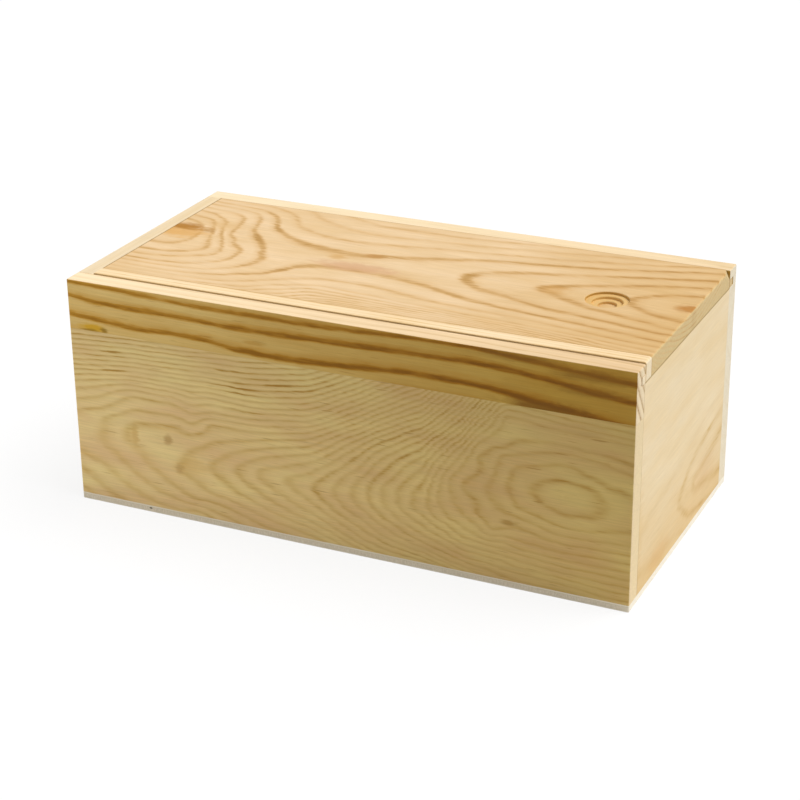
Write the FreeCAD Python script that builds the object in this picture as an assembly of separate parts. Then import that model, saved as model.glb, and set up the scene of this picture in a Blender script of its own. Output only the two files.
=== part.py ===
"""Sliding-lid keepsake box in solid pine on a plywood bottom.

The frame stands on its flat bottom: origin at the middle of the underside, +Z up, +X towards the
end that the lid leaves by, -Y the long side that is glued up from two boards. All sizes in mm.
"""
import FreeCAD, Part
import os
from FreeCAD import Vector

# Carcass: the two long side walls run the full length and cover the ends of the end boards.
box_length = 330.0
box_width = 168.0
box_height = 134.0
side_thickness = 12.0
end_thickness = 9.5
bottom_thickness = 4.0

# The front wall is glued up from two boards: this is the height of the upper one.
upper_board_width = 28.6

# Lid and the grooves it runs in.
lid_thickness = 10.4
tongue_thickness = 4.3
tongue_reach = 5.2
lip_height = 5.25
groove_depth = 6.0
edge_strip_width = 8.4

# Running clearances of the lid: at each flank, over the tongue, under it, and at the closed end.
flank_gap = 0.6
over_gap = 0.3
under_gap = 0.15
stop_gap = 0.4

# Finger recess, cut with a stepped cutter: equal rings going down to a flat disc. It sits a
# little nearer to the back, about the middle of the board without its front edge strip.
recess_diameter = 23.8
recess_from_open_end = 46.8
recess_off_centre = 2.5
recess_steps = 3
recess_step_depth = 1.5
recess_ring_width = 3.4
recess_step_bevel = 0.35

# One corner of the lid's raised field has broken away where the rebate runs out.
chip_along_end = 9.0
chip_along_edge = 2.6

# Sanded arrises: outer corners of the carcass, the finer ones that face the lid, and the lid's
# top edge at the open end, which is rounded for the hand.
outer_arris = 0.7
fine_arris = 0.35
lid_end_arris = 1.2

# Brads that hold the bottom: flat wire with a crown head, driven up through the plywood.
brad_wide = 1.2
brad_thin = 1.0
brad_length = 16.0
brad_point = 1.6
brad_head_wide = 1.9
brad_head_height = 0.6
brad_sunk = 0.2
brads_per_side = 4
brads_per_end = 2
brad_from_corner = 45.0
end_brad_from_corner = 48.0

# Faces of the carcass that several boards share.
end_plane = box_length / 2
side_plane = box_width / 2
inner_side = side_plane - side_thickness
inner_end = end_plane - end_thickness

# Heights of the lid and its grooves, counted down from the rim of the walls.
groove_top = box_height - lip_height
tongue_top = groove_top - over_gap
lid_underside = tongue_top - tongue_thickness
groove_floor = lid_underside - under_gap
lid_top = lid_underside + lid_thickness
lid_flank = inner_side - flank_gap
lid_closed_edge = -inner_end + stop_gap

# How near a corner must be to a plane to count as on it.
ON_PLANE = 1e-4
# How far a cutting tool runs past the face that it opens.
cutter_overrun = 5.0


def block(low, high):
    """A rectangular board between two opposite corners."""
    size = Vector(*high) - Vector(*low)
    return Part.makeBox(size.x, size.y, size.z, Vector(*low))


def lies_on(edge, plane):
    """True when the edge lies in the plane given as (axis, value), such as ("z", 134)."""
    axis, value = plane
    return all(abs(getattr(vertex.Point, axis) - value) < ON_PLANE for vertex in edge.Vertexes)


def ease(board, radius, plane_pairs):
    """Round off the edges where each pair of planes meets, as sandpaper does."""
    edges = []
    for edge in board.Edges:
        if any(lies_on(edge, first) and lies_on(edge, second) for first, second in plane_pairs):
            edges.append(edge)
    return board.makeFillet(radius, edges)


def brad(x, y, turn):
    """One brad standing point up, its crown head just under the face of the plywood."""
    half = brad_wide / 2
    tip = brad_sunk + brad_length
    shoulder = tip - brad_point
    outline = [Vector(x - half, y - brad_thin / 2, brad_sunk), Vector(x + half, y - brad_thin / 2, brad_sunk),
               Vector(x + half, y - brad_thin / 2, shoulder), Vector(x, y - brad_thin / 2, tip),
               Vector(x - half, y - brad_thin / 2, shoulder)]
    shank = Part.Face(Part.makePolygon(outline + outline[:1])).extrude(Vector(0, brad_thin, 0))
    head = block((x - brad_head_wide / 2, y - brad_thin / 2, brad_sunk),
                 (x + brad_head_wide / 2, y + brad_thin / 2, brad_sunk + brad_head_height))
    nail = shank.fuse(head).removeSplitter()
    return nail.rotate(Vector(x, y, 0), Vector(0, 0, 1), turn)


def bottom_brads():
    """Every brad of the bottom: rows up into the side walls, and pairs up into the end boards."""
    brads = []
    row = side_plane - side_thickness / 2
    first = end_plane - brad_from_corner
    for index in range(brads_per_side):
        x = -first + 2 * first * index / (brads_per_side - 1)
        brads.append(brad(x, -row, 0))
        brads.append(brad(x, row, 0))
    end_row = end_plane - end_thickness / 2
    first = side_plane - end_brad_from_corner
    for index in range(brads_per_end):
        y = -first + 2 * first * index / (brads_per_end - 1)
        brads.append(brad(-end_row, y, 90))
        brads.append(brad(end_row, y, 90))
    return brads


def side_wall(side):
    """A long wall with its lid groove run from end to end; side is -1 for front, +1 for back."""
    outer = side * side_plane
    inner = side * inner_side
    wall = block((-end_plane, min(outer, inner), bottom_thickness),
                 (end_plane, max(outer, inner), box_height))
    rim = ("z", box_height)
    face = ("y", outer)
    sanded = [(rim, face)]
    for end in (("x", -end_plane), ("x", end_plane)):
        sanded += [(rim, end), (face, end)]
    wall = ease(wall, outer_arris, sanded)
    wall = ease(wall, fine_arris, [(rim, ("y", inner))])
    groove_back = side * (inner_side + groove_depth)
    mouth = side * (inner_side - cutter_overrun)
    groove = block((-end_plane - cutter_overrun, min(groove_back, mouth), groove_floor),
                   (end_plane + cutter_overrun, max(groove_back, mouth), groove_top))
    return wall.cut(groove)


def upper_board_zone():
    """The space above the front wall's glue line."""
    over = cutter_overrun
    return block((-end_plane - over, -side_plane - over, box_height - upper_board_width),
                 (end_plane + over, -inner_side + over, box_height + over))


def end_board(side, top):
    """A board between the side walls; side is -1 for the closed end, +1 for the open one."""
    outer = side * end_plane
    inner = side * inner_end
    board = block((min(outer, inner), -inner_side, bottom_thickness), (max(outer, inner), inner_side, top))
    rim = ("z", top)
    board = ease(board, outer_arris, [(rim, ("x", outer))])
    return ease(board, fine_arris, [(rim, ("x", inner))])


def bottom_panel():
    """The plywood bottom, planed flush with the walls all round."""
    panel = block((-end_plane, -side_plane, 0), (end_plane, side_plane, bottom_thickness))
    underside = ("z", 0)
    faces = [("x", -end_plane), ("x", end_plane), ("y", -side_plane), ("y", side_plane)]
    corners = [(end, face) for end in faces[:2] for face in faces[2:]]
    panel = ease(panel, outer_arris, corners)
    edges = [edge for edge in panel.Edges if lies_on(edge, underside)]
    return panel.makeFillet(fine_arris, edges)


def finger_recess():
    """The stepped recess as the cutter leaves it: a half profile turned about its own axis."""
    radius = recess_diameter / 2
    above = cutter_overrun
    profile = [Vector(0, 0, above), Vector(radius + recess_step_bevel, 0, above),
               Vector(radius + recess_step_bevel, 0, 0)]
    for step in range(recess_steps):
        ring = radius - step * recess_ring_width
        profile.append(Vector(ring, 0, -step * recess_step_depth - recess_step_bevel))
        profile.append(Vector(ring, 0, -(step + 1) * recess_step_depth))
        if step + 1 < recess_steps:
            next_ring = ring - recess_ring_width
            profile.append(Vector(next_ring + recess_step_bevel, 0, -(step + 1) * recess_step_depth))
    profile.append(Vector(0, 0, -recess_steps * recess_step_depth))
    face = Part.Face(Part.makePolygon(profile + profile[:1]))
    cutter = face.revolve(Vector(0, 0, 0), Vector(0, 0, 1), 360)
    cutter.translate(Vector(end_plane - recess_from_open_end, recess_off_centre, lid_top))
    return cutter


def broken_corner():
    """The splinter that is missing from the raised field: three cuts from one point down to the tongue."""
    corner = Vector(end_plane, lid_flank, lid_top)
    along_end = corner - Vector(0, chip_along_end, 0)
    along_edge = corner - Vector(chip_along_edge, 0, 0)
    foot = Vector(end_plane, lid_flank, tongue_top)
    outside = corner * 2 - (along_end + along_edge + foot) / 3
    points = [along_end, along_edge, foot]
    faces = [Part.Face(Part.makePolygon(points + points[:1]))]
    for index in range(3):
        side = [outside, points[index], points[(index + 1) % 3], outside]
        faces.append(Part.Face(Part.makePolygon(side)))
    return Part.Solid(Part.Shell(faces))


def lid():
    """The whole lid: a board rebated along both long edges, so that a tongue is left at the bottom."""
    field = block((lid_closed_edge, -lid_flank, lid_underside), (end_plane, lid_flank, lid_top))
    face = ("z", lid_top)
    field = ease(field, lid_end_arris, [(face, ("x", end_plane))])
    sides = [("x", lid_closed_edge), ("y", -lid_flank), ("y", lid_flank)]
    field = ease(field, fine_arris, [(face, side) for side in sides])
    tongue_tip = lid_flank + tongue_reach
    tongue = block((lid_closed_edge, -tongue_tip, lid_underside), (end_plane, tongue_tip, tongue_top))
    board = field.fuse(tongue).removeSplitter()
    return board.cut([finger_recess(), broken_corner()])


def edge_strip_zone():
    """The space along the front edge of the lid that the pale glued-on strip fills."""
    over = cutter_overrun
    return block((-end_plane - over, -side_plane - over, -over),
                 (end_plane + over, -lid_flank + edge_strip_width, box_height + lid_thickness))


def build():
    """All pieces of the box, by name."""
    brads = bottom_brads()
    front = side_wall(-1).cut(brads)
    whole_lid = lid()
    return {
        "bottom_panel": bottom_panel().cut(brads),
        "front_wall_lower_board": front.cut(upper_board_zone()),
        "front_wall_upper_board": front.common(upper_board_zone()),
        "back_wall_board": side_wall(1).cut(brads),
        "closed_end_board": end_board(-1, box_height).cut(brads),
        "open_end_board": end_board(1, groove_floor).cut(brads),
        "lid_board": whole_lid.cut(edge_strip_zone()),
        "lid_edge_strip": whole_lid.common(edge_strip_zone()),
        "bottom_brads": Part.makeCompound(brads),
    }


os.makedirs("parts", exist_ok=True)
for name, shape in build().items():
    print(name, "solids", len(shape.Solids), "volume", round(shape.Volume, 1), "valid", shape.isValid())
    shape.exportStep(os.path.join("parts", name + ".step"))
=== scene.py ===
"""Looks of a sliding-lid keepsake box in solid pine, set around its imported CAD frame.

Metres, +Z up, +X towards the end that the lid leaves by, -Y the long side glued up from two boards.
The sections follow the box as it is put together: bottom, walls, ends, brads, lid. Patterns are
given in millimetres on the board's own face.
"""
import bpy
import math
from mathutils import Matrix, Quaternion, Vector

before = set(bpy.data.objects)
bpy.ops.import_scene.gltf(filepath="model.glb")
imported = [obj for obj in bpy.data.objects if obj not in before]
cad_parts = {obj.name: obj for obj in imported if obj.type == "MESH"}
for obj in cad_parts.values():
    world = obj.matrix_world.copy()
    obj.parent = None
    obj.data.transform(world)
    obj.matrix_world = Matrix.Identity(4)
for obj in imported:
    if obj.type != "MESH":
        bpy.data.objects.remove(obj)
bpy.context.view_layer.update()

# ---------------------------------------------------------------------------------------------
# Camera: a long lens from the front and the open end, a little above the box.
# ---------------------------------------------------------------------------------------------
camera_azimuth = math.radians(25.15)
camera_elevation = math.radians(23.85)
camera_roll = math.radians(-0.64)
camera_distance = 1.172
camera_target = Vector((-0.0006, -0.0046, 0.0581))
camera_lens = 93.4

camera_back = Vector((
    math.sin(camera_azimuth) * math.cos(camera_elevation),
    -math.cos(camera_azimuth) * math.cos(camera_elevation),
    math.sin(camera_elevation),
))
bpy.ops.object.camera_add(location=camera_target + camera_back * camera_distance)
camera = bpy.context.object
camera_turn = camera_back.to_track_quat("Z", "Y") @ Quaternion((0, 0, 1), camera_roll)
camera.rotation_euler = camera_turn.to_euler()
camera.data.lens = camera_lens
camera.data.clip_start = 0.01
bpy.context.scene.camera = camera

# ---------------------------------------------------------------------------------------------
# Studio: a seamless white floor, an even sky of soft light, one broad soft lamp high on the
# right and behind, so that the top and the open end are bright and the long front is in shade,
# and a small reflector low on the left that lifts the near end of the front.
# ---------------------------------------------------------------------------------------------
sky_strength = 0.34
lamp_direction = Vector((0.46, 0.22, 0.86))
lamp_strength = 2.75
lamp_distance = 3.0
lamp_angle = math.radians(50)
reflector_place = Vector((-0.62, -0.50, 0.30))
reflector_aim = Vector((-0.15, -0.08, 0.07))
reflector_size = 0.35
reflector_power = 1.1
floor_radius = 8.0
floor_sides = 96
floor_own_white = 0.85


def linear(code):
    """The linear colour of an sRGB hex value such as "F0CDA0"."""
    channels = [int(code[i:i + 2], 16) / 255 for i in (0, 2, 4)]
    return [c / 12.92 if c <= 0.04045 else ((c + 0.055) / 1.055) ** 2.4 for c in channels] + [1.0]


def add(tree, kind, *plugs, out=0, curve=None, stops=None, **settings):
    """Adds a node with its settings, feeds its sockets in order, and returns the one it puts out.

    A plug is a socket to link, a number or colour to set, or None to leave alone. curve holds the
    points of a Float Curve, stops the places and hex colours of a Color Ramp.
    """
    node = tree.nodes.new(kind if kind.startswith("NodeGroup") else "ShaderNode" + kind)
    for name, value in settings.items():
        setattr(node, name, value)
    if curve:
        node.mapping.use_clip = False
        points = node.mapping.curves[0].points
        while len(points) < len(curve):
            points.new(0.5, 0.5)
        for point, place in zip(points, curve):
            point.location = place
            point.handle_type = "AUTO_CLAMPED"
        node.mapping.update()
    if stops:
        elements = node.color_ramp.elements
        while len(elements) < len(stops):
            elements.new(1.0)
        for element, (place, code) in zip(elements, stops):
            element.position = place
            element.color = linear(code)
    sockets = [socket for socket in node.inputs if socket.enabled]
    for socket, plug in zip(sockets, plugs):
        if isinstance(plug, bpy.types.NodeSocket):
            tree.links.new(plug, socket)
        elif plug is not None:
            socket.default_value = plug
    outputs = [socket for socket in node.outputs if socket.enabled]
    return outputs[out] if outputs else node


def blank_material(name):
    """A material with nothing in it yet, and its node tree."""
    material = bpy.data.materials.new(name)
    material.use_nodes = True
    material.node_tree.nodes.clear()
    return material, material.node_tree


def background_ray(tree):
    """1 for a ray that shows the background: to the camera, off something shiny, or through it."""
    paths = add(tree, "LightPath").node.outputs
    shiny = add(tree, "Math", paths["Is Glossy Ray"], paths["Is Transmission Ray"],
                operation="MAXIMUM")
    return add(tree, "Math", paths["Is Camera Ray"], shiny, operation="MAXIMUM")


bpy.ops.object.select_all(action="DESELECT")
bpy.ops.mesh.primitive_circle_add(vertices=floor_sides, radius=floor_radius, fill_type="NGON")
floor = bpy.context.object
floor.name = "studio_floor"

# Seamless studio paper: matt, and so white to the camera that only a faint shadow is left on it.
paper, tree = blank_material("seamless_paper")
seen = background_ray(tree)
shade = add(tree, "Mix", seen, linear("E2E2E2"), linear("FFFFFF"), data_type="RGBA")
matt = add(tree, "BsdfDiffuse", shade)
white = add(tree, "Emission", linear("FFFFFF"), 1.0)
own_white = add(tree, "Math", seen, floor_own_white, operation="MULTIPLY")
surface = add(tree, "MixShader", own_white, matt, white)
add(tree, "OutputMaterial", surface)
floor.data.materials.append(paper)

world = bpy.data.worlds.new("studio_sky")
bpy.context.scene.world = world
world.use_nodes = True
tree = world.node_tree
tree.nodes.clear()
seen = background_ray(tree)
strength = add(tree, "Mix", seen, sky_strength, 1.0, data_type="FLOAT")
sky = add(tree, "Background", linear("FFFFFF"), strength)
add(tree, "OutputWorld", sky)

bpy.ops.object.light_add(type="SUN", location=lamp_direction * lamp_distance)
lamp = bpy.context.object
lamp.rotation_euler = lamp_direction.to_track_quat("Z", "Y").to_euler()
lamp.data.energy = lamp_strength
lamp.data.angle = lamp_angle

bpy.ops.object.light_add(type="AREA", location=reflector_place)
reflector = bpy.context.object
reflector.rotation_euler = (reflector_place - reflector_aim).to_track_quat("Z", "Y").to_euler()
reflector.data.size = reflector_size
reflector.data.energy = reflector_power
reflector.visible_camera = False

bpy.context.scene.view_settings.view_transform = "Standard"

# ---------------------------------------------------------------------------------------------
# Bottom: a 4 mm sheet of three-ply poplar plywood under all four walls, glued and bradded on,
# then planed flush with them.
# ---------------------------------------------------------------------------------------------
ply_thickness = 4.0
veneer_thickness = 0.9
glue_line = 0.14
underside = 0.0
mm_per_metre = 1000
# A small dark oval in the core on the front edge: its middle, along and across the box and up, and half
# sizes.
core_dark_mark = (-119.75, -84.0, 2.4)
core_dark_mark_reach = (1.0, 5.0, 0.5556)
# Puttied brads in each quarter of the sheet: place along and across, half length and half width.
putty_marks = ((40.0, 78.0, 1.5, 1.0), (120.0, 78.0, 1.5, 1.0), (160.25, 36.0, 1.0, 1.5))


def dress(node_name, material):
    """Gives a CAD node's object this one material."""
    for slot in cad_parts[node_name].material_slots:
        slot.material = material


def board_place(tree, along, across, depth, outer):
    """The place on a board in millimetres: along the grain, across it, and down from its outer face.

    along, across and depth name axes. outer is the outer face's place on the depth axis.
    """
    metres = add(tree, "TexCoord", out=3)
    place = add(tree, "VectorMath", metres, [mm_per_metre] * 3, operation="MULTIPLY")
    axes = {axis: add(tree, "SeparateXYZ", place, out=index) for index, axis in enumerate("XYZ")}
    sunk = add(tree, "Math", axes[depth], outer, operation="SUBTRACT")
    sunk = add(tree, "Math", sunk, operation="ABSOLUTE")
    return add(tree, "CombineXYZ", axes[along], axes[across], sunk)


def facing(tree, axis):
    """1 on the faces that look along an axis, either way, and 0 on those that look across it."""
    normal = add(tree, "TexCoord", out=1)
    direction = {"X": (1, 0, 0), "Y": (0, 1, 0), "Z": (0, 0, 1)}[axis]
    turned = add(tree, "VectorMath", normal, direction, operation="DOT_PRODUCT", out=0)
    turned = add(tree, "Math", turned, operation="ABSOLUTE")
    return add(tree, "MapRange", turned, 0.55, 0.85, 0.0, 1.0)


def mottle(tree, place, sizes, detail, rough, twist=0.0):
    """Unevenness from 0 to 1, in patches of these sizes; twist swirls them.

    sizes holds a patch's size on each axis in millimetres, with 0 for an axis left out.
    """
    grid = [1 / size if size else 0 for size in sizes]
    grid = add(tree, "VectorMath", place, grid, operation="MULTIPLY")
    return add(tree, "TexNoise", grid, 1.0, detail, rough, None, twist)


def oval(tree, place, middle, reach):
    """How far out in an oval a place lies: 0 in its middle, 1 at its edge.

    reach holds the oval's half size on each axis, with 0 for one that it runs right through.
    """
    shrink = [1 / half if half else 0 for half in reach]
    off = add(tree, "VectorMath", place, middle, operation="SUBTRACT")
    off = add(tree, "VectorMath", off, shrink, operation="MULTIPLY")
    return add(tree, "VectorMath", off, operation="LENGTH", out=0)


# Plywood: on its edges two thin pale veneers on a greyer core, on its faces broad rotary-cut figure.
plywood, tree = blank_material("poplar_plywood")
place = board_place(tree, "X", "Y", "Z", underside)
height = add(tree, "SeparateXYZ", place, out=2)
ripple = mottle(tree, place, (9, 9, 0), 2.0, 0.5)
ripple = add(tree, "Math", ripple, 0.5, -0.25, operation="MULTIPLY_ADD")
level = add(tree, "Math", height, ripple, operation="ADD")
level = add(tree, "Math", level, ply_thickness / 2, operation="SUBTRACT")
level = add(tree, "Math", level, operation="ABSOLUTE")
core_half = ply_thickness / 2 - veneer_thickness
veneer = add(tree, "MapRange", level, core_half - 0.1, core_half + 0.1, 0.0, 1.0)
to_glue = add(tree, "Math", level, core_half, operation="SUBTRACT")
to_glue = add(tree, "Math", to_glue, operation="ABSOLUTE")
dark_lines = add(tree, "MapRange", to_glue, 0.0, glue_line, 0.45, 0.0)
# The core's grain runs across the box: end grain on the long edges, drawn as upright flecks.
flecks = mottle(tree, place, (0.8, 0.8, 2.5), 3.0, 0.65)
strands = mottle(tree, place, (18, 18, 0.3), 2.0, 0.6)
core_tone = add(tree, "ValToRGB", flecks, stops=((0.3, "D8CBB2"), (0.55, "E8DCC4"), (0.7, "F0E6D4")))
veneer_tone = add(tree, "ValToRGB", strands, stops=((0.3, "E4D8BE"), (0.6, "F2E9D6")))
edge = add(tree, "Mix", veneer, core_tone, veneer_tone, data_type="RGBA")
edge = add(tree, "Mix", dark_lines, edge, linear("B09868"), data_type="RGBA")
# On the short edges the core lies along the cut, smoother and paler.
along_core = facing(tree, "X")
along_core = add(tree, "Math", along_core, 0.65, operation="MULTIPLY")
edge = add(tree, "Mix", along_core, edge, linear("F6F0E2"), data_type="RGBA")
# One small dark oval lies in the core on the front edge.
gap = oval(tree, place, core_dark_mark, core_dark_mark_reach)
gap = add(tree, "MapRange", gap, 0.6, 1.2, 0.9, 0.0)
edge = add(tree, "Mix", gap, edge, linear("3E3018"), data_type="RGBA")
# Rotary cutting draws growth rings out into broad soft flames along the sheet.
swirl = mottle(tree, place, (210, 36, 0), 2.0, 0.4, twist=0.5)
bands = add(tree, "Math", swirl, 17.0, operation="MULTIPLY")
bands = add(tree, "Math", bands, operation="FRACT")
bands = add(tree, "FloatCurve", 1.0, bands, curve=((0, 0), (0.3, 0.1), (0.8, 0.8), (0.9, 1), (1, 0)))
pores = mottle(tree, place, (14, 0.55, 1), 3.0, 0.65)
sheet = add(tree, "Mix", bands, linear("E6D6B2"), linear("D9C295"), data_type="RGBA")
pore_shade = add(tree, "MapRange", pores, 0.3, 0.7, 0.9, 1.04)
sheet = add(tree, "VectorMath", sheet, pore_shade, operation="SCALE")
# Putty over the sunk brad heads dries to small darker ovals, alike in all four quarters.
quarter = add(tree, "VectorMath", place, operation="ABSOLUTE")
for at_x, at_y, half_x, half_y in putty_marks:
    putty = oval(tree, quarter, (at_x, at_y, 0), (half_x, half_y, 0))
    putty = add(tree, "Math", pores, 0.5, putty, operation="MULTIPLY_ADD")
    putty = add(tree, "MapRange", putty, 1.0, 1.35, 0.85, 0.0)
    sheet = add(tree, "Mix", putty, sheet, linear("AE8F5E"), data_type="RGBA")
flat = facing(tree, "Z")
colour = add(tree, "Mix", flat, edge, sheet, data_type="RGBA")
relief = add(tree, "Mix", flat, flecks, pores, data_type="FLOAT")
rough = add(tree, "MapRange", relief, 0.3, 0.7, 0.75, 0.62)
bump = add(tree, "Bump", 0.5, 0.0001, None, relief)
surface = add(tree, "BsdfPrincipled", colour, None, rough, None, None, bump)
surface.node.inputs["Specular IOR Level"].default_value = 0.25
add(tree, "OutputMaterial", surface)
dress("bottom_panel", plywood)

# ---------------------------------------------------------------------------------------------
# Front wall, lower board: flat-sawn pine with the rings of a leaning stem, glued to the upper
# board and planed flush. Rings close round a bull's-eye near the open end and fan out from it.
# ---------------------------------------------------------------------------------------------
front_face = -84.0
half_length = 165.0
# How far the run from one ring profile to the next reaches past both, as a share of their distance.
station_overlap = 0.27
# The fewest rings to the millimetre that a line's width is worked out from.
flattest_slope = 0.006
# How far unevenness of each size moves a line across the board and along it, in millimetres.
slow_bend = 3.0
small_bend = 1.8
fibre_bend = 0.8
small_reach = 5.0

# A line's darkness across it, in widths of the line: sharp on the side where growth stopped, or
# soft on both, and the glow that lies round either.
sharp_line = ((-1.5, 0), (-0.75, 0.25), (-0.3, 0.85), (-0.08, 1), (0.12, 0.55), (0.4, 0))
soft_line = ((-1.4, 0), (-0.8, 0.25), (-0.35, 0.8), (0, 1), (0.35, 0.65), (0.8, 0.12), (1.1, 0))
glow_line = ((-4.5, 0), (-1.5, 0.5), (-0.2, 1), (0.9, 0))


def ring_group(name, stations):
    """A node group that says which growth ring a place on the board's face lies on.

    stations lists (place along the board, ((place across it, ring), ...)) in millimetres. Between
    stations the ring runs over smoothly, so a whole-numbered ring draws one line along the board.
    """
    group = bpy.data.node_groups.new(name, "ShaderNodeTree")
    for socket in ("Along", "Across"):
        group.interface.new_socket(socket, in_out="INPUT", socket_type="NodeSocketFloat")
    group.interface.new_socket("Ring", in_out="OUTPUT", socket_type="NodeSocketFloat")
    along = add(group, "NodeGroupInput", out=0)
    across = add(group, "NodeGroupInput", out=1)
    ring = None
    for place, marks in stations:
        profile = add(group, "FloatCurve", 1.0, across, curve=marks)
        if ring is None:
            ring = profile
        else:
            reach = station_overlap * (place - last_place)
            turn = add(group, "MapRange", along, last_place - reach, place + reach,
                       interpolation_type="SMOOTHSTEP")
            step = add(group, "Math", profile, last_profile, operation="SUBTRACT")
            ring = add(group, "Math", step, turn, ring, operation="MULTIPLY_ADD")
        last_place, last_profile = place, profile
    add(group, "NodeGroupOutput", ring)
    return group


def pine(name, rings, axes, outer, early, blush, middle, late, width=2.0, gap=10.0, spread=0.35,
         profile=sharp_line, halo=0.22, strength=1.0, boldness=None, slant=0.0, per_depth=0.0,
         wave=1.0, jag=1.0, feather=5.0, smear=0.0, broken=1.0, threads=1.0, streaks=0.0,
         deepen=None, tints=(), blots=(), stains=(), dark_lines=(), rim=None, ends=None):
    """Bare sanded pine, drawn from a ring group: pale early wood and darker lines of late wood.

    axes names the axes along, across and through the board, and outer is the place of its outer
    face on the last. early and blush are the tones of the ground, middle and late those of faint
    and of dark lines. width is the width of a line where lines lie gap apart, and spread how much
    wider it gets with a wider gap. profile is a line's darkness across it, halo that of the glow
    round it, strength that of all lines, and boldness that of each ring, as a curve over its
    number. slant is how far the rings drift across the board for each millimetre of depth,
    per_depth how many rings that crosses. wave, jag and feather bend the lines slowly, roughly,
    and along single fibres, smear widens them where they cross the fibres, and broken breaks them
    up along the board. threads is the contrast of single fibres, streaks that of resin between
    them. deepen makes the lines darker from one place along the board to another, and tints
    colours all of it, along or across. A blot darkens the lines: (amount, place along, place
    across, long, wide). A stain colours the wood: (colour, place along, place across, long, wide,
    amount). glue holds lines along the board, each (place across, colour, amount, wide): joints
    where boards are glued, and painted shade along an arris beside a gap. rim and ends are
    (colour at the start of the board, at its far end, cover, line strength); the paler rims are
    partly their edge grain and partly a painted sheen.
    """
    material, tree = blank_material(name)
    place = board_place(tree, *axes, outer)
    along = add(tree, "SeparateXYZ", place, out=0)
    across = add(tree, "SeparateXYZ", place, out=1)
    depth = add(tree, "SeparateXYZ", place, out=2)

    # Unevenness at every size: (millimetres along the grain, across it, detail, roughness).
    uneven = {}
    for kind, (long, wide, detail, rough) in {
        "slow": (55, 16, 2, 0.5), "small": (9, 3.5, 2, 0.6), "fibre": (13, 0.6, 1, 0.5),
        "thread": (30, 0.8, 3, 0.65), "patch": (38, 9, 2, 0.55), "cloud": (60, 18, 3, 0.55),
        "streak": (17, 1.1, 1, 0.4), "dab": (11, 1.8, 1, 0.5), "duct": (5, 0.45, 1, 0.4),
    }.items():
        uneven[kind] = mottle(tree, place, (long, wide, wide), detail, rough)

    # Each bend is centred, so that the lines stay on average where the ring group has them.
    centre = -(wave * slow_bend + jag * (small_bend + fibre_bend)) / 2
    bend = add(tree, "Math", uneven["slow"], wave * slow_bend, centre, operation="MULTIPLY_ADD")
    bend = add(tree, "Math", uneven["small"], jag * small_bend, bend, operation="MULTIPLY_ADD")
    bend = add(tree, "Math", uneven["fibre"], jag * fibre_bend, bend, operation="MULTIPLY_ADD")
    bend = add(tree, "Math", depth, slant, bend, operation="MULTIPLY_ADD")
    moved = add(tree, "Math", across, bend, operation="ADD")
    centre = -(jag * small_reach + feather) / 2
    reach = add(tree, "Math", uneven["small"], jag * small_reach, centre, operation="MULTIPLY_ADD")
    reach = add(tree, "Math", uneven["fibre"], feather, reach, operation="MULTIPLY_ADD")
    reach = add(tree, "Math", along, reach, operation="ADD")

    # The ring here and a millimetre to either side: their difference gives the lines' spacing.
    here = add(tree, "Group", reach, moved, node_tree=rings)
    ahead = add(tree, "Math", reach, 1.0, operation="ADD")
    ahead = add(tree, "Group", ahead, moved, node_tree=rings)
    above = add(tree, "Math", moved, 1.0, operation="ADD")
    above = add(tree, "Group", reach, above, node_tree=rings)
    slope_along = add(tree, "Math", ahead, here, operation="SUBTRACT")
    slope_across = add(tree, "Math", above, here, operation="SUBTRACT")
    slope = add(tree, "CombineXYZ", slope_along, slope_across)
    slope = add(tree, "VectorMath", slope, operation="LENGTH", out=0)
    slope = add(tree, "Math", slope, flattest_slope, operation="MAXIMUM")

    ring = add(tree, "Math", depth, per_depth, here, operation="MULTIPLY_ADD")
    nearest = add(tree, "Math", ring, operation="ROUND")
    off = add(tree, "Math", ring, nearest, operation="SUBTRACT")
    off = add(tree, "Math", off, slope, operation="DIVIDE")
    crowd = add(tree, "Math", slope, gap, operation="MULTIPLY")
    narrow = add(tree, "Math", crowd, spread, operation="POWER")
    off = add(tree, "Math", off, narrow, operation="MULTIPLY")
    off = add(tree, "Math", off, width, operation="DIVIDE")
    skew = add(tree, "Math", slope_along, slope, operation="DIVIDE")
    skew = add(tree, "Math", skew, operation="ABSOLUTE")
    wider = add(tree, "Math", skew, smear, 1.0, operation="MULTIPLY_ADD")
    off = add(tree, "Math", off, wider, operation="DIVIDE")
    line = add(tree, "FloatCurve", 1.0, off, curve=profile)
    glow = add(tree, "FloatCurve", 1.0, off, curve=glow_line)

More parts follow.
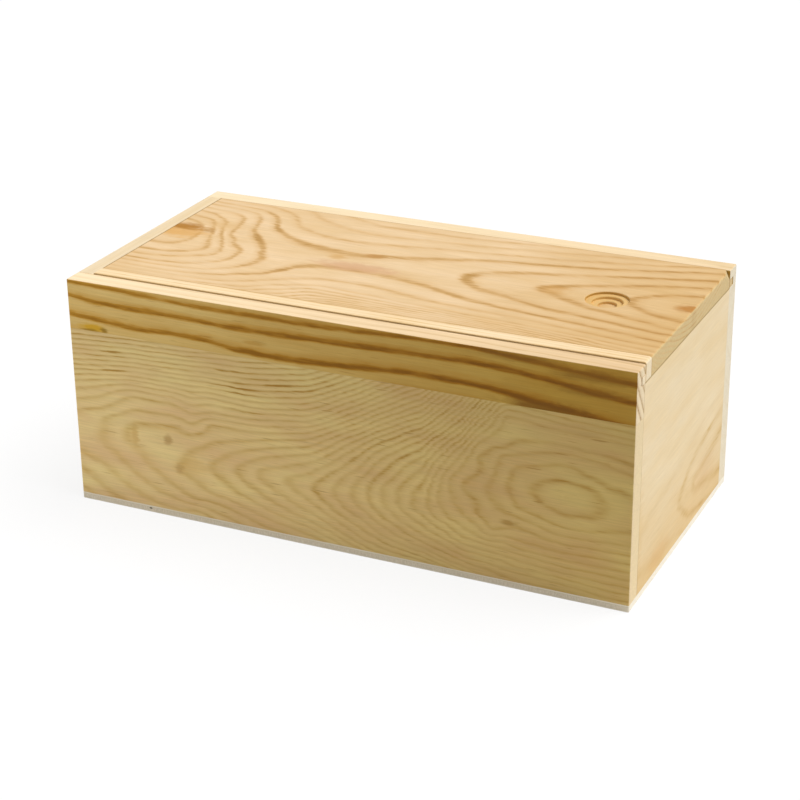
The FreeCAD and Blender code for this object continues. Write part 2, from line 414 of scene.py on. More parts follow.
    # Each ring has its own depth of colour, and it comes and goes along the board.
    if boldness:
        own = add(tree, "FloatCurve", 1.0, nearest, curve=boldness)
    else:
        own = add(tree, "TexWhiteNoise", nearest, noise_dimensions="1D")
        own = add(tree, "MapRange", own, 0.0, 1.0, 0.6, 1.0)
    patch = add(tree, "MapRange", uneven["patch"], 0.32, 0.65, 1 - 0.5 * broken, 1 + 0.15 * broken)
    dash = add(tree, "MapRange", uneven["thread"], 0.32, 0.68, 1 - 0.5 * broken, 1 + 0.4 * broken)
    dab = add(tree, "MapRange", uneven["dab"], 0.32, 0.68, 1 - 0.4 * broken, 1 + 0.4 * broken)
    softer = add(tree, "Math", wider, -0.6, operation="POWER")
    for factor in (patch, dash, dab, softer):
        own = add(tree, "Math", own, factor, operation="MULTIPLY")
    dark = add(tree, "Math", glow, halo, line, operation="MULTIPLY_ADD")
    dark = add(tree, "Math", dark, own, operation="MULTIPLY")
    spot_place = add(tree, "CombineXYZ", reach, moved, 0.0)
    for amount, at_along, at_across, long, wide in blots:
        spot = oval(tree, spot_place, (at_along, at_across, 0), (long, wide, 0))
        spot = add(tree, "MapRange", spot, 0.2, 1.0, 1.0 + amount, 1.0,
                   interpolation_type="SMOOTHSTEP")
        dark = add(tree, "Math", dark, spot, operation="MULTIPLY")
    dark = add(tree, "Math", dark, strength, operation="MULTIPLY")
    if deepen:
        bolder = add(tree, "MapRange", along, *deepen)
        dark = add(tree, "Math", dark, bolder, operation="MULTIPLY")
    covers = []
    for axis, edge_grain_and_sheen in ((axes[1], rim), (axes[0], ends)):
        if edge_grain_and_sheen:
            near, far, cover, lines = edge_grain_and_sheen
            run = add(tree, "MapRange", along, -half_length, half_length, 0.0, 1.0)
            tone = add(tree, "Mix", run, linear(near), linear(far), data_type="RGBA")
            mask = facing(tree, axis)
            fainter = add(tree, "MapRange", mask, 0.0, 1.0, 1.0, lines)
            dark = add(tree, "Math", dark, fainter, operation="MULTIPLY")
            covers.append((tone, cover, mask))
    dark = add(tree, "Math", dark, 0.0, operation="ADD", use_clamp=True)

    # Early wood wanders between two tones, and the late wood darkens it.
    cloud = add(tree, "MapRange", uneven["cloud"], 0.35, 0.65, 0.0, 1.0)
    ground = add(tree, "Mix", cloud, linear(early), linear(blush), data_type="RGBA")
    late_tone = add(tree, "ValToRGB", dark, stops=((0.25, middle), (1.0, late)))
    depth_of_line = add(tree, "MapRange", dark, 0.0, 0.5, 0.0, 1.0)
    colour = add(tree, "Mix", depth_of_line, ground, late_tone, data_type="RGBA")

    # Fibres: pale and dark threads, short golden streaks of resin, and fewer brown ducts.
    shade = add(tree, "MapRange", uneven["thread"], 0.25, 0.75, 1 - 0.11 * threads,
                1 + 0.08 * threads)
    ducts = add(tree, "MapRange", uneven["duct"], 0.66, 0.78, 0.0, 0.3)
    colour = add(tree, "Mix", ducts, colour, linear(middle), data_type="RGBA")
    golden = add(tree, "MapRange", uneven["streak"], 0.69, 0.78, 0.0, streaks)
    colour = add(tree, "Mix", golden, colour, linear(late), data_type="RGBA")

    for code, at_along, at_across, long, wide, amount in stains:
        spot = oval(tree, spot_place, (at_along, at_across, 0), (long, wide, 0))
        spot = add(tree, "Math", uneven["small"], 0.9, spot, operation="MULTIPLY_ADD")
        spot = add(tree, "MapRange", spot, 0.7, 1.4, amount, 0.0, interpolation_type="SMOOTHSTEP")
        colour = add(tree, "Mix", spot, colour, linear(code), data_type="RGBA")

    for which, start, end, code in tints:
        run = add(tree, "MapRange", {"along": along, "across": across}[which], start, end, 0.0, 1.0)
        colour = add(tree, "Mix", run, colour, linear(code), data_type="RGBA", blend_type="MULTIPLY")

    # Edges: the rims are paler, partly as they are cut along the fibres and partly as a painted sheen,
    # and end grain shows the fibres as dots.
    for tone, cover, mask in covers:
        plain = add(tree, "MapRange", dark, 0.0, 0.6, cover, 0.0)
        plain = add(tree, "Math", plain, mask, operation="MULTIPLY")
        colour = add(tree, "Mix", plain, colour, tone, data_type="RGBA")
    # Lines along the board: glued joints, and painted shade along an arris beside a gap.
    for at_across, code, amount, wide in dark_lines:
        joint_and_shade_line = add(tree, "Math", across, at_across, operation="SUBTRACT")
        joint_and_shade_line = add(tree, "Math", joint_and_shade_line, operation="ABSOLUTE")
        joint_and_shade_line = add(tree, "MapRange", joint_and_shade_line, wide * 0.5, wide, amount, 0.0)
        colour = add(tree, "Mix", joint_and_shade_line, colour, linear(code), data_type="RGBA")
    colour = add(tree, "VectorMath", colour, shade, operation="SCALE")

    rough = add(tree, "MapRange", dark, 0.0, 1.0, 0.66, 0.52)
    height = add(tree, "Math", dark, 0.5, uneven["thread"], operation="MULTIPLY_ADD")
    bump = add(tree, "Bump", 0.35, 0.0001, None, height)
    surface = add(tree, "BsdfPrincipled", colour, None, rough, None, None, bump)
    surface.node.inputs["Specular IOR Level"].default_value = 0.15
    add(tree, "OutputMaterial", surface)
    return material


lower_rings = ring_group("rings_of_lower_front_board", (
    (-165, ((0, 24.8), (8, 24), (20, 23), (31, 22), (43, 21.6), (54, 22), (62, 23), (68, 24),
            (75, 25.4), (84, 28.2), (106, 35.3))),
    (-147, ((0, 23.9), (7.5, 23), (24, 22), (36, 21.1), (41, 20.97), (47, 21.02), (54, 21.15),
            (59.5, 22), (68, 23.2), (75, 24.5), (84, 27.4), (106, 35))),
    (-128, ((0, 23.1), (11, 22), (24, 21), (38.5, 20), (46, 19.6), (53.5, 20), (62, 21),
            (70, 22), (76, 23.6), (84, 26.6), (106, 34.6))),
    (-101, ((0, 23.2), (5, 22), (11, 21), (18, 20), (26, 19.3), (31, 18.98), (37, 19.25),
            (46, 19.6), (57, 20), (63, 21), (70, 22), (75, 23.3), (84, 26.4), (106, 34.2))),
    (-89, ((0, 23.1), (7, 22), (10.5, 21), (14, 20), (25, 19), (34, 18.6), (44.5, 19),
           (53.5, 20), (60, 21), (66, 22), (71, 23), (84, 26.4), (106, 34))),
    (-78, ((0, 22.8), (9, 21), (15, 20), (20, 19), (29, 18.4), (36, 18.1), (42, 18.4), (50, 19),
           (57, 19.7), (62, 20), (67.5, 21.6), (75, 23.2), (84, 26), (106, 33.6))),
    (-50, ((0, 21.2), (7, 20), (13, 19), (19, 18), (27, 17), (38, 16.1), (46, 17), (52, 18),
           (57, 19), (62, 20), (70, 22.2), (84, 26.2), (106, 32.9))),
    (-14, ((0, 20.2), (6, 19), (14, 17), (19, 16), (25, 15), (36, 14), (45, 15), (51, 16),
           (62, 18.3), (84, 24.6), (106, 31))),
    (18, ((0, 17.5), (8, 15.2), (14, 14), (21, 12.8), (28, 11.6), (36, 11), (43, 11), (52, 12),
          (60, 13), (66, 14.1), (84, 19.4), (106, 26))),
    (50, ((0, 17), (8, 13.7), (15.7, 11), (23, 9.3), (30, 8.1), (38, 7.1), (46, 7.3), (56, 8.2),
          (66, 9.6), (76, 11.6), (90, 15.6), (106, 20.5))),
    (62, ((0, 15.7), (9, 12.2), (13, 11), (20, 9.2), (27, 7.6), (36, 6), (44, 5.5), (54, 5.4),
          (62, 6.2), (70, 7.6), (80, 10), (90, 12.7), (98, 15), (106, 17.4))),
    (72, ((0, 14.8), (9.8, 11), (16, 9.1), (24, 7), (33, 5.6), (42, 4.7), (48, 4.35),
          (52.5, 4.02), (54.5, 3.97), (57, 4.02), (62, 4.5), (70, 5.4), (76, 6.5), (83, 8.3),
          (90, 10.1), (98, 12.4), (106, 14.7))),
    (80, ((0, 13.7), (10, 10.6), (18, 8.4), (26, 6.3), (34, 4.9), (39.5, 4.1), (42, 3.98),
          (47.5, 4), (51, 3.6), (55, 3.5), (59, 3.65), (62, 4), (66, 4.2), (70, 4.08),
          (73.5, 4.2), (80, 5), (86, 6.4), (92, 8), (99, 10), (106, 12))),
    (88, ((0, 13), (12, 9.9), (20, 7.7), (26, 5.8), (32, 4), (40, 3.5), (51, 3), (56, 2.85),
          (60, 3), (66, 3.3), (74, 3.6), (78.3, 4), (87, 5), (92, 6), (97, 7), (101.5, 8),
          (106, 9.1))),
    (95, ((0, 12.6), (20, 7.6), (28, 5.6), (34, 4), (44, 3), (50, 2.6), (60, 2.3), (70, 2.6),
          (76.5, 3), (80.5, 4), (88, 4.5), (98.2, 5), (101.8, 6), (106, 7.4))),
    (103, ((0, 12.2), (20, 7.3), (29, 5), (37, 4), (49, 2), (60, 1.55), (71, 2), (78, 3),
           (86, 4), (98.5, 5), (103, 6.2), (106, 7))),
    (127, ((0, 12), (6.5, 10.5), (22.5, 6), (31, 4.2), (41, 2), (48, 1), (59, 0), (69, 1),
           (78, 2), (84, 3), (88.5, 4), (95.5, 5), (99.5, 6), (106, 8))),
    (144, ((0, 11.7), (6, 10.2), (23, 6), (32, 4.1), (42, 2), (49, 1.1), (53, 0.85), (58, 0.75),
           (63, 0.85), (67, 1.1), (72.5, 2), (82.5, 3), (86.5, 4), (95.5, 5), (98.7, 6),
           (106, 8.1))),
    (152, ((0, 11.6), (6, 10), (23, 6), (32, 4.1), (44, 2), (51, 1.25), (57, 1.12), (62, 1.25),
           (69, 2), (81, 3), (86, 4), (95.3, 5), (98.4, 6), (106, 8.2))),
    (165, ((0, 11.4), (6, 10), (23, 6), (33, 4), (46, 2), (56, 1.35), (65.5, 2), (78, 3),
           (83, 4), (94, 5), (97.5, 6), (106, 8.4))),
))
# Flat-sawn pine: straw coloured, with thin soft lines feathered out along the fibres.
lower_pine = pine("flat_sawn_pine", lower_rings, ("X", "Z", "Y"), front_face,
                  "F0D795", "E6C38B", "CFA75A", "AC7E34", width=1.5, gap=6.0, spread=0.8,
                  boldness=((0, 0.6), (2, 0.7), (3, 0.6), (4, 0.85), (5, 0.65), (8, 0.85),
                            (10, 0.8), (11, 1.15), (12, 0.8), (13, 0.75), (14, 1.1), (15, 0.75),
                            (18, 0.75), (24, 0.72), (27, 0.95), (36, 1.15)),
                  profile=soft_line, strength=0.38, slant=0.4, per_depth=0.08, wave=0.6, jag=0.8,
                  feather=3.6, smear=0.6, broken=0.75, streaks=0.5,
                  # The tints are painted shade: the board darkens towards the open end and towards its
                  # top.
                  tints=(("along", -120, 165, "E1DAC2"), ("across", 30, 100, "EEEFEC")),
                  blots=((-0.3, -95, 94, 80, 30), (-0.5, 110, 10, 90, 26), (-0.15, -130, 30, 60, 40),
                         (2.3, -137, 94, 12, 2), (2.1, -139, 84, 18, 2), (1.8, -58, 86, 13, 5),
                         (1.1, -30, 92, 30, 3.5), (1.6, -65, 95.6, 12, 2.5), (-0.2, 0, 45, 90, 28),
                         (0.6, -125, 48, 10, 12), (0.5, 128, 58, 24, 16), (-0.3, 45, 25, 50, 22),
                         (-0.35, 140, 36, 46, 14), (-0.55, 135, 93, 60, 16), (-0.35, -15, 14, 80, 18)),
                  stains=(("A87428", -106, 47.2, 4.0, 4.8, 0.5), ("B58A3A", 98, 38.2, 7, 2.6, 0.6),
                          ("B98640", -99.5, 31, 3.5, 5, 0.4), ("D8A850", -90, 34.5, 14, 8, 0.25),
                          ("CC9C48", -127, 47, 3.5, 10, 0.45)),
                  rim=("F0DAB8", "F0DAB8", 0.8, 0.4), ends=("EBD6AE", "EBD6AE", 0.85, 0.1))
dress("front_wall_lower_board", lower_pine)

# ---------------------------------------------------------------------------------------------
# Front wall, upper board: a narrow board of resinous pine with three bold bands of late wood,
# edge-glued on the lower one. The front groove of the lid is ploughed along its inner face.
# ---------------------------------------------------------------------------------------------
upper_rings = ring_group("rings_of_upper_front_board", (
    (-165, ((101, 4.2), (113.7, 3), (124.6, 2), (132.6, 1), (140, 0.3))),
    (-150, ((100, 4.2), (112.3, 3), (122.5, 2), (131.7, 1), (140, 0.1))),
    (-125, ((98, 4.2), (110.3, 3), (121.7, 2), (131, 1), (140, 0.1))),
    (-100, ((99, 4.2), (111.6, 3), (122, 2), (130.1, 1), (140, 0.0))),
    (-78, ((98.5, 4.2), (111, 3), (121.3, 2), (129.8, 1), (140, 0.0))),
    (-63, ((96, 4.2), (108.7, 3), (120.8, 2), (129.8, 1), (140, 0.0))),
    (-35, ((95, 4.2), (107.9, 3), (121.1, 2), (129.6, 1), (140, 0.0))),
    (-10, ((96, 4.2), (109, 3), (122, 2), (129.7, 1), (140, 0.0))),
    (20, ((97, 4.2), (110.8, 3), (122.8, 2), (131.2, 1), (140, 0.1))),
    (40, ((99, 4.2), (112.4, 3), (123.4, 2), (132.3, 1), (140, 0.3))),
    (80, ((99, 4.2), (112.3, 3), (124, 2), (132.6, 1), (140, 0.3))),
    (97, ((97, 4.2), (110.5, 3), (123.2, 2), (131.2, 1), (140, 0.1))),
    (122, ((94, 4.2), (107.6, 3), (121.2, 2), (129.5, 1), (140, 0.0))),
    (142, ((92, 4.2), (105.6, 3), (118.8, 2), (128, 1), (140, -0.1))),
    (165, ((89, 4.2), (102.5, 3), (116.5, 2), (126.5, 1), (140, -0.3))),
))
# Resinous pine: golden, its late wood brown, and bled with pitch at the glue line.
upper_pine = pine("resinous_pine", upper_rings, ("X", "Z", "Y"), front_face,
                  "DDBE78", "D4B169", "C4902E", "966608", width=3.3, strength=0.95,
                  boldness=((0, 0.8), (1, 0.8), (2, 0.88), (3, 1), (5, 1)), slant=1.6, wave=0.3,
                  jag=0.5, broken=0.6, streaks=0.4, deepen=(-165, -20, 0.76, 1.0),
                  tints=(("along", -150, 120, "D3C488"),),
                  blots=((-0.4, -70, 110, 12, 4), (-0.25, -42, 121, 18, 3)),
                  stains=(("CFA02C", -150, 107.5, 12.5, 3.8, 1.0), ("87640F", -152, 105.6, 9, 1.5, 0.7),
                          ("87640F", -142.5, 107, 3.6, 2.6, 0.75), ("BE8A2A", -49, 114.6, 10, 1.7, 0.45),
                          ("946826", 118, 107, 34, 5.0, 0.85), ("9C7230", 104, 131.5, 34, 4.0, 0.5),
                          ("9C7230", 142, 127.8, 34, 4.6, 0.6), ("9C7230", 142, 119.3, 32, 4.2, 0.5)),
                  rim=("FBE3BE", "EBCBA0", 0.92, 0.2), ends=("EFE0C2", "F1DFBE", 0.85, 0.45))
dress("front_wall_upper_board", upper_pine)

# ---------------------------------------------------------------------------------------------
# Back wall: one wide flat-sawn board, its rings drawn out into a long flame and a fishtail. It
# is glued over the ends of the end boards, and has the back groove of the lid.
# ---------------------------------------------------------------------------------------------
back_face = 84.0
back_rings = ring_group("rings_of_back_wall", (
    (-165, ((0, 8.5), (5, 8), (15, 7), (25, 6), (33.5, 5), (38, 4), (44.5, 3), (54.5, 2), (67, 1),
            (83, 0.6), (98, 1), (114, 2), (126, 3), (134, 4))),
    (-135, ((0, 7.6), (6, 7), (18, 6), (29, 5), (39, 4), (47, 3), (61, 2), (71.5, 1), (84, 0.5),
            (94.5, 1), (113.7, 2), (122, 3), (129, 4), (135, 5))),
    (-110, ((0, 7.4), (13, 6), (25, 5), (40, 4), (50, 3), (63, 2), (80, 1), (88, 0.92),
            (96.5, 1), (112, 2), (119, 3), (126, 4), (132, 5))),
    (-85, ((0, 7.2), (12.5, 6), (25.5, 5), (42.5, 4), (53, 3), (64, 2), (80, 1.3), (92, 1.12),
           (110, 2), (118, 3), (126, 4), (132, 5))),
    (-60, ((0, 7), (12, 6), (26, 5), (41.5, 4), (53.5, 3), (63.5, 2), (80, 1.3), (91, 1.08),
           (109, 2), (118, 3), (127, 4), (134, 5))),
    (-38, ((0, 6.9), (10.5, 6), (24, 5), (40.5, 4), (49.5, 3), (61.3, 2), (80, 1.15), (86, 1),
           (91, 0.97), (95, 1), (111, 2), (119, 3), (128, 4))),
    (-10, ((0, 6.6), (7.5, 6), (22.3, 5), (37, 4), (46.5, 3), (59, 2), (78, 1), (88, 0.75),
           (98, 1), (114, 2), (121, 3), (129, 4))),
    (25, ((0, 6.4), (6.8, 6), (22, 5), (30, 4), (43, 3), (56, 2), (73, 1), (91, 0.4), (108.5, 1),
          (119.3, 2), (125.8, 3), (133, 4))),
    (57, ((0, 6.7), (10.3, 6), (23.7, 5), (35, 4), (46.7, 3), (59.2, 2), (78, 1), (93, 0.4),
          (107.7, 1), (119.8, 2), (127, 3), (133, 4))),
    (85, ((0, 6.8), (13, 6), (25, 5), (38, 4), (49.2, 3), (61.2, 2), (81, 1), (94, 0.4),
          (107.7, 1), (120, 2), (127.4, 3), (133.5, 4))),
    (115, ((0, 6.9), (14.5, 6), (26.5, 5), (36.5, 4), (51, 3), (61.3, 2), (79, 1), (95, 0.4),
           (110.7, 1), (122, 2), (128, 3), (134, 4))),
    (140, ((0, 6.9), (15, 6), (27.3, 5), (34.3, 4), (48.8, 3), (61, 2), (77, 1), (95, 0.4),
           (113, 1), (123.8, 2), (129.7, 3), (135, 4))),
    (165, ((0, 7), (17, 6), (28, 5), (35, 4), (46.5, 3), (59.5, 2), (74.5, 1), (95, 0.3),
           (114.5, 1), (125, 2), (131.5, 3), (136, 4))),
))
# Wide flat-sawn pine: pale straw, with broad soft bands of yellow late wood.
back_pine = pine("wide_sawn_pine", back_rings, ("X", "Z", "Y"), back_face,
                 "F0DCAA", "E5CF98", "D2AC58", "B0842E", width=3.2, gap=12.0, spread=0.4,
                 halo=0.3, strength=0.39, per_depth=0.06, wave=0.7, jag=0.9, feather=6.0,
                 broken=0.85, streaks=0.4, deepen=(0, 140, 1.0, 1.35),
                 boldness=((0, 0.9), (1, 1), (2, 0.9), (3, 0.8), (5, 0.8), (9, 0.75)),
                 tints=(("along", -80, 165, "DECC9A"),),
                 stains=(("E4C472", -20, 91, 28, 12, 0.45), ("E8C870", -139, 85, 32, 14, 0.65),
                         ("C2983E", 136, 94, 12, 3.4, 0.7), ("C2983E", 160, 92, 6, 3.2, 0.6),
                         ("C89E48", 155, 114.5, 9, 2.2, 0.6), ("B8924A", -63.5, 88, 4, 1, 0.6),
                         ("B8924A", -83, 80, 5, 1, 0.6)),
                 rim=("F6E1BE", "F4DAB2", 0.9, 0.3),
                 ends=("E9DFC9", "E9DFC9", 0.9, 0.12))
dress("back_wall_board", back_pine)

# ---------------------------------------------------------------------------------------------
# Closed end: a flat-sawn board glued in between the side walls. It is as high as they are, so
# that the lid stops against it.
# ---------------------------------------------------------------------------------------------
closed_end_rings = ring_group("rings_of_closed_end", (
    (-72, ((0, 8), (9, 7), (21, 6), (36, 5), (52, 4.3), (66, 4.4), (78, 5), (97, 4), (110.5, 3),
           (123.5, 2), (131, 1), (140, 0))),
    (-20, ((0, 7.8), (11, 7), (25, 6), (44, 5), (60, 4.6), (74, 5), (85, 5), (98, 4), (110.8, 3),
           (123.8, 2), (131.2, 1), (140, 0))),
    (30, ((0, 8), (8, 7), (22, 6), (40, 5.4), (56, 5.2), (70, 5.3), (84, 5), (96, 4), (110.2, 3),
          (123.2, 2), (131, 1), (140, 0))),
    (72, ((0, 7.7), (12, 6.8), (26, 6), (44, 5.6), (58, 5.8), (70, 5.6), (86, 5), (97.5, 4),
          (111, 3), (124, 2), (131.4, 1), (140, 0))),
))
# Flat-sawn pine with a few wide rings, cream on the rim and a little orange in the late wood.
closed_end_pine = pine("cream_pine", closed_end_rings, ("Y", "Z", "X"), -half_length,
                       "EBD5A6", "E3C791", "CFA35C", "B57C38", width=2.4, gap=12.0, strength=0.75,
                       boldness=((0, 0.6), (1, 0.6), (2, 0.7), (3, 1.2), (4, 0.6), (9, 0.6)),
                       per_depth=0.05, wave=0.5, jag=0.6, broken=0.7, streaks=0.3,
                       rim=("E5D2B3", "E9D2AD", 0.9, 0.3))
dress("closed_end_board", closed_end_pine)

# ---------------------------------------------------------------------------------------------
# Open end: a lower board of plain pine glued in between the side walls. Its top edge is the sill
# that the lid slides over.
# ---------------------------------------------------------------------------------------------
open_end_rings = ring_group("rings_of_open_end", (
    (-72, ((0, 4.2), (9, 3.4), (26.5, 2.7), (46, 3.3), (62, 4), (80, 5), (98, 6), (116, 7), (130, 8))),
    (-4, ((0, 3.6), (8, 3), (18, 2.3), (26.5, 2), (36, 2.3), (50, 3), (66, 4), (84, 5), (101, 6),
          (117, 7), (130, 8))),
    (18.5, ((0, 2.9), (7, 2.2), (17, 1.4), (26.5, 1), (35, 1.4), (43, 2), (56, 3), (70, 4), (86, 5),
            (102, 6), (118, 7), (130, 8))),
    (72, ((0, 2.4), (6, 1.6), (14, 0.9), (26.5, 0.5), (36, 0.8), (42, 1), (54, 2), (65, 3), (76, 4),
          (88, 5), (103, 6), (118, 7), (130, 8))),
))
# Pale pine, nearly without figure but for faint loops low down and a warm flush under them.
open_end_pine = pine("pale_pine", open_end_rings, ("Y", "Z", "X"), half_length,
                     "EBD7B2", "E8D0A4", "D5B478", "BE9450", width=3.6, profile=soft_line,
                     strength=0.22, boldness=((1, 1.1), (2, 1.1), (3, 0.45), (4, 0.15), (8, 0.1)),
                     wave=0.8, jag=0.9, threads=0.65, streaks=0.15,
                     stains=(("E0AE6A", -38, 12, 24, 9, 0.25), ("DDB98C", 40, 26, 30, 16, 0.25),
                             ("DDBE84", -72, 40, 8, 40, 0.25)),
                     # The dark line just under the sill's top edge is painted shade of the gap under the
                     # lid.
                     tints=(("across", 60, 0, "F2E6CE"),), dark_lines=((123.6, "94783C", 0.75, 0.36),),
                     rim=("F0DDB6", "F0DDB6", 0.8, 0.3))
dress("open_end_board", open_end_pine)

# ---------------------------------------------------------------------------------------------
# Brads: twelve nails of flat bright steel wire with crown heads, driven up through the bottom
# into the walls and sunk just below its face.
# ---------------------------------------------------------------------------------------------
# Drawn steel wire: a grey metal, dulled by drawing marks and by a trace of oxide.
wire, tree = blank_material("bright_steel_wire")
place = board_place(tree, "Z", "X", "Y", 0.0)
drawn = mottle(tree, place, (4, 0.15, 0.15), 2.0, 0.5)
oxide = mottle(tree, place, (0.625, 0.625, 0.625), 3.0, 0.6)
bright = add(tree, "ValToRGB", drawn, stops=((0.35, "A9A59D"), (0.65, "C6C3BC")))
dull = add(tree, "MapRange", oxide, 0.45, 0.65, 0.0, 0.7)
colour = add(tree, "Mix", dull, bright, linear("8B8378"), data_type="RGBA")
rough = add(tree, "MapRange", oxide, 0.35, 0.7, 0.32, 0.55)
bump = add(tree, "Bump", 0.4, 0.00005, None, drawn)
surface = add(tree, "BsdfPrincipled", colour, 1.0, rough, None, None, bump)
add(tree, "OutputMaterial", surface)
dress("bottom_brads", wire)

# ---------------------------------------------------------------------------------------------
# Lid: one flat-sawn board with a knot at its closed end and a flame of rings at the other. It is
# rebated along both long edges, so that its tongues run in the grooves, and its finger recess is
# sunk with a stepped cutter.
# ---------------------------------------------------------------------------------------------
lid_face = 134.55
lid_rings = ring_group("rings_of_lid", (
    (-156, ((-66, 7), (-56, 5), (-50.5, 4), (-45, 3), (-39.6, 2), (-33, 1), (-25, 0), (-12.5, -1),
            (8, -2), (31.2, -1), (38, 0), (47, 1), (53, 2), (60, 3), (65, 4), (72, 5.4))),
    (-145, ((-66, 7), (-56, 5), (-50.7, 4), (-45, 3), (-39.8, 2), (-33, 1), (-24.8, 0),
            (-13.3, -1), (8, -1.9), (27, -1), (35.8, 0), (44.6, 1), (51.3, 2), (58.5, 3),
            (64, 4), (72, 5.4))),
    (-137, ((-66, 7), (-56, 5), (-51, 4), (-45.3, 3), (-40, 2), (-32.2, 1), (-24.5, 0), (-7, -1),
            (6, -1.3), (19, -1), (32.3, 0), (39.5, 1), (50.4, 2), (57.8, 3), (63.2, 4), (72, 5.4))),
    (-127, ((-66, 7), (-56.3, 5), (-51.3, 4), (-45.2, 3), (-39.3, 2), (-29, 1), (-20.5, 0),
            (-5, -0.4), (10.5, 0), (24.5, 1), (47.3, 2), (56, 3), (62, 4), (72, 5.5))),
    (-118, ((-66, 7), (-56.3, 5), (-51.2, 4), (-44.6, 3), (-38, 2), (-25, 1), (-12, 0), (7, 1),
            (15, 1.95), (24, 2.08), (33, 2.2), (52.3, 3), (60.6, 4), (72, 5.4))),
    (-108, ((-66, 7), (-56, 5), (-50.1, 4), (-43, 3), (-33.3, 2), (-15, 1.08), (2, 2), (28, 3),
            (54.5, 4), (63, 4.8), (72, 5.5))),
    (-97, ((-66, 7), (-57, 5.2), (-48, 4), (-39.3, 3), (-15, 2), (13.5, 3), (35, 4), (59.5, 5),
           (72, 5.8))),
    (-85, ((-66, 7.4), (-60, 6), (-54, 5), (-43.6, 4), (-29, 3), (-18, 2.8), (-7, 3), (25.6, 4),
           (42.3, 5), (64, 6), (72, 6.4))),
    (-68, ((-66, 7.6), (-57, 6), (-47, 5), (-33.4, 4), (-10, 3.5), (17.3, 4), (34.3, 5), (54, 6),
           (72, 7))),
    (-57, ((-66, 8.4), (-49.3, 6), (-40.5, 5), (-18.2, 4), (-2, 3.75), (15, 4), (32.8, 5), (50, 6),
           (72, 7.3))),
    (-45, ((-66, 9.2), (-44.3, 6), (-34, 5), (-12, 4), (0, 3.8), (13, 4), (31.7, 5), (47.5, 6),
           (72, 7.6))),
    (-32, ((-66, 11), (-50, 8), (-40, 6), (-29.8, 5), (-10.8, 4), (0, 3.8), (12, 4), (32.5, 5),
           (47, 6), (72, 7.6))),
    (-12, ((-66, 14), (-50, 8), (-41.5, 6), (-29, 5), (-12, 4), (2, 3.7), (17.6, 4), (36.8, 5),
           (49.5, 6), (72, 7.7))),
    (5, ((-66, 14), (-50, 7.8), (-42.6, 6), (-31.3, 5), (-13.2, 4), (4, 3.55), (21.9, 4),
         (39.8, 5), (51, 6), (72, 7.8))),
    (22.7, ((-66, 14), (-51, 7.8), (-44.9, 6), (-35.5, 5), (-17.6, 4), (5, 3.3), (28.4, 4),
            (42.5, 5), (53, 6), (72, 7.8))),
    (36, ((-66, 14), (-51.5, 7.8), (-45.8, 6), (-37.6, 5), (-22.5, 4), (-3, 3.1), (5, 3.0),
          (12, 3.1), (33, 4), (43.8, 5), (54.7, 6), (72, 7.6))),
    (49, ((-66, 14), (-52, 7.8), (-46.5, 6), (-39, 5), (-27.3, 4), (-10.6, 3), (3, 2.7), (16.6, 3),
          (35.4, 4), (46, 5), (57, 6), (72, 7.5))),
    (66.7, ((-66, 14), (-53, 7.8), (-47.8, 6), (-40, 5), (-30.5, 4), (-14.8, 3), (4, 2.35),
            (23.7, 3), (38.6, 4), (49, 5), (60, 6), (72, 7.2))),
    (79.8, ((-66, 13.5), (-53.5, 7.7), (-48.4, 6), (-41, 5), (-32, 4), (-19.3, 3), (-3, 2.2),
            (4.3, 2), (11, 2.2), (27, 3), (41.2, 4), (51.5, 5), (62, 6), (72, 7))),
    (93, ((-66, 12.5), (-54.5, 7.6), (-49.3, 6), (-42, 5), (-34, 4), (-23.4, 3), (-3.6, 2),
          (5, 1.75), (13.1, 2), (31.2, 3), (43.8, 4), (54.4, 5), (65, 6), (72, 6.7))),
    (110.6, ((-66, 11.5), (-56, 7.6), (-51, 6), (-44.4, 5), (-36.2, 4), (-25.6, 3), (-12.4, 2),
             (5, 1.35), (21, 2), (36, 3), (48.2, 4), (58.5, 5), (72, 6.4))),
    (130, ((-66, 9.6), (-53, 6), (-47.4, 5), (-38.4, 4), (-28.3, 3), (-17.2, 2), (-1, 1.1),
           (5, 1.03), (11, 1.1), (30, 2), (42.5, 3), (54, 4), (63, 5), (72, 6))),
    (145.7, ((-66, 8.8), (-55, 6), (-49, 5), (-40.5, 4), (-31, 3), (-20.3, 2), (-8.8, 1), (6, 0.5),
             (21, 1), (34.2, 2), (46.5, 3), (59, 4), (68, 5), (72, 5.5))),
    (165, ((-66, 8), (-57.2, 6), (-51, 5), (-43.6, 4), (-33.4, 3), (-26, 2), (-14, 1), (6, 0.15),
           (27.2, 1), (40.4, 2), (52.3, 3), (64.6, 4), (72, 4.7))),
))
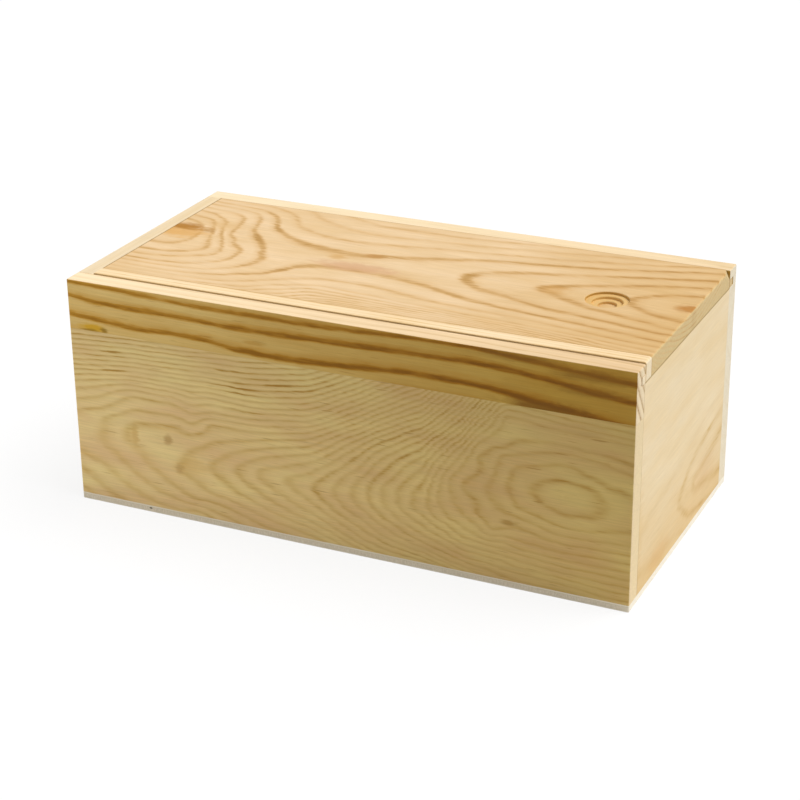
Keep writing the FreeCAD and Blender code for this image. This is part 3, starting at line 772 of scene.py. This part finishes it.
# Peach-toned pine: the warmest board, its rings tan and golden, boldest where the flame comes
# to a point and along the waist.
lid_pine = pine("peach_toned_pine", lid_rings, ("X", "Y", "Z"), lid_face,
                "E9CBA1", "E0BF8F", "D6AE76", "B58946", width=3.0, gap=12.0, spread=0.6,
                profile=soft_line, halo=0.35, strength=0.46, per_depth=0.35, wave=0.35, jag=0.55,
                feather=3.4, broken=0.8, streaks=0.3,
                boldness=((-3, 0.7), (-1, 0.9), (0, 0.9), (1, 0.95), (2, 1), (3, 1), (4, 1.15),
                          (5, 0.65), (6, 0.55), (7, 0.65), (8, 0.7), (14, 0.65)),
                tints=(("along", 40, 165, "F2E9D2"),),
                blots=((1.0, -98, 14, 13, 15), (-0.45, -108, -28, 24, 18), (1.2, -23, 15, 8, 5),
                       (0.6, 38, 4, 10, 13), (0.9, 88, 6, 16, 12), (0.5, 158, 4, 24, 28),
                       (-0.65, -128, -52, 46, 16), (-0.5, -136, 56, 38, 20), (0.5, -97, 35, 12, 9),
                       (0.4, -55, 16, 50, 9), (0.4, -60, -27, 16, 16), (-0.5, -96, -38, 24, 15)),
                stains=(("D9A252", -147, 10, 24, 15, 0.7), ("A87018", -148, 17.5, 20, 8.5, 0.9),
                        ("A4752C", -131.5, 15.5, 6, 4.5, 0.5),
                        ("D9B074", -128, 26, 16, 9, 0.4), ("BC7F2C", 161.5, 6, 10, 8, 0.8),
                        ("D0A27A", -26, -6, 36, 10, 0.72), ("CE9E5A", -43, 5, 8, 6, 0.6),
                        ("C08C4C", -24, 14.5, 9, 4, 0.6), ("D2A05A", 87, 5, 13, 9, 0.4)),
                # The line at the back arris is painted shade of the gap to the back wall; the one at the
                # front is the joint with the edge strip.
                dark_lines=((-62.8, "B98E52", 0.6, 0.8), (71.4, "A98250", 0.7, 1.0)),
                ends=("D0BA88", "D0BA88", 0.8, 0.6))

# The recess: cut across the fibres, so its steps are a deeper gold. Its walls are browner, partly from
# the cut fibres and partly as painted shade. Each pair gives the distances out from its middle, or
# down from the lid's face, where a tone changes.
recess_middle = (118.2, 2.5, 0.0)
flat_disc_edge = (4.8, 5.6)
outer_wall_foot = (10.2, 11.2)
recess_rim = (12.2, 12.3)
lid_face_skin = (0.05, 0.3)
# A hair line of shade where the board meets the stop at the closed end, in places along the lid.
stop_line = (-154.5, -153.9)

tree = lid_pine.node_tree
surface = tree.nodes["Principled BSDF"]
plain = surface.inputs["Base Color"].links[0].from_socket
place = board_place(tree, "X", "Y", "Z", lid_face)
along = add(tree, "SeparateXYZ", place, out=0)
depth = add(tree, "SeparateXYZ", place, out=2)
from_middle = oval(tree, place, recess_middle, (1, 1, 0))
inside = add(tree, "MapRange", from_middle, *recess_rim, 1.0, 0.0)
sunk = add(tree, "MapRange", depth, *lid_face_skin, 0.0, 1.0)
cut = add(tree, "Math", inside, sunk, operation="MULTIPLY")
steps = add(tree, "MapRange", from_middle, *flat_disc_edge, 0.1, 0.8)
steps = add(tree, "Math", steps, cut, operation="MULTIPLY")
colour = add(tree, "Mix", steps, plain, linear("DEB672"), data_type="RGBA")
# Painted shade on the recess walls, with their end grain: upright faces are browner, most at the outer
# wall.
upright = add(tree, "Math", cut, facing(tree, "Z"), operation="SUBTRACT", use_clamp=True)
upright = add(tree, "Math", upright, 0.85, operation="MULTIPLY")
wall = add(tree, "MapRange", from_middle, *outer_wall_foot, 0.0, 1.0)
wall = add(tree, "Mix", wall, linear("D8B06A"), linear("C09448"), data_type="RGBA")
colour = add(tree, "Mix", upright, colour, wall, data_type="RGBA")
shade = add(tree, "MapRange", along, *stop_line, 0.75, 0.0)
colour = add(tree, "Mix", shade, colour, linear("8E6C38"), data_type="RGBA")
tree.links.new(colour, surface.inputs["Base Color"])
dress("lid_board", lid_pine)

# ---------------------------------------------------------------------------------------------
# Edge strip: a narrow straight-grained batten glued along the front edge of the lid, its tongue
# planed with the board's.
# ---------------------------------------------------------------------------------------------
strip_rings = ring_group("rings_of_strip", (
    (-165, ((-84, -5.5), (-63, 1.2))),
    (0, ((-84, -5.8), (-63, 1.0))),
    (165, ((-84, -5.2), (-63, 1.5))),
))
# Straight-grained pine: the palest of the woods, with hair lines along it.
strip_pine = pine("straight_grained_pine", strip_rings, ("X", "Y", "Z"), lid_face,
                  "F7DFB8", "F3D6A8", "E2BC80", "CFA263", width=1.0, gap=3.0, strength=0.4,
                  per_depth=0.3, wave=0.4, jag=0.3, streaks=0.2,
                  # The darker line along its front arris is painted shade of the gap to the front wall.
                  dark_lines=((-71.4, "C9A66C", 0.8, 0.7),), ends=("E9DABC", "E9DABC", 0.8, 0.5))
dress("lid_edge_strip", strip_pine)
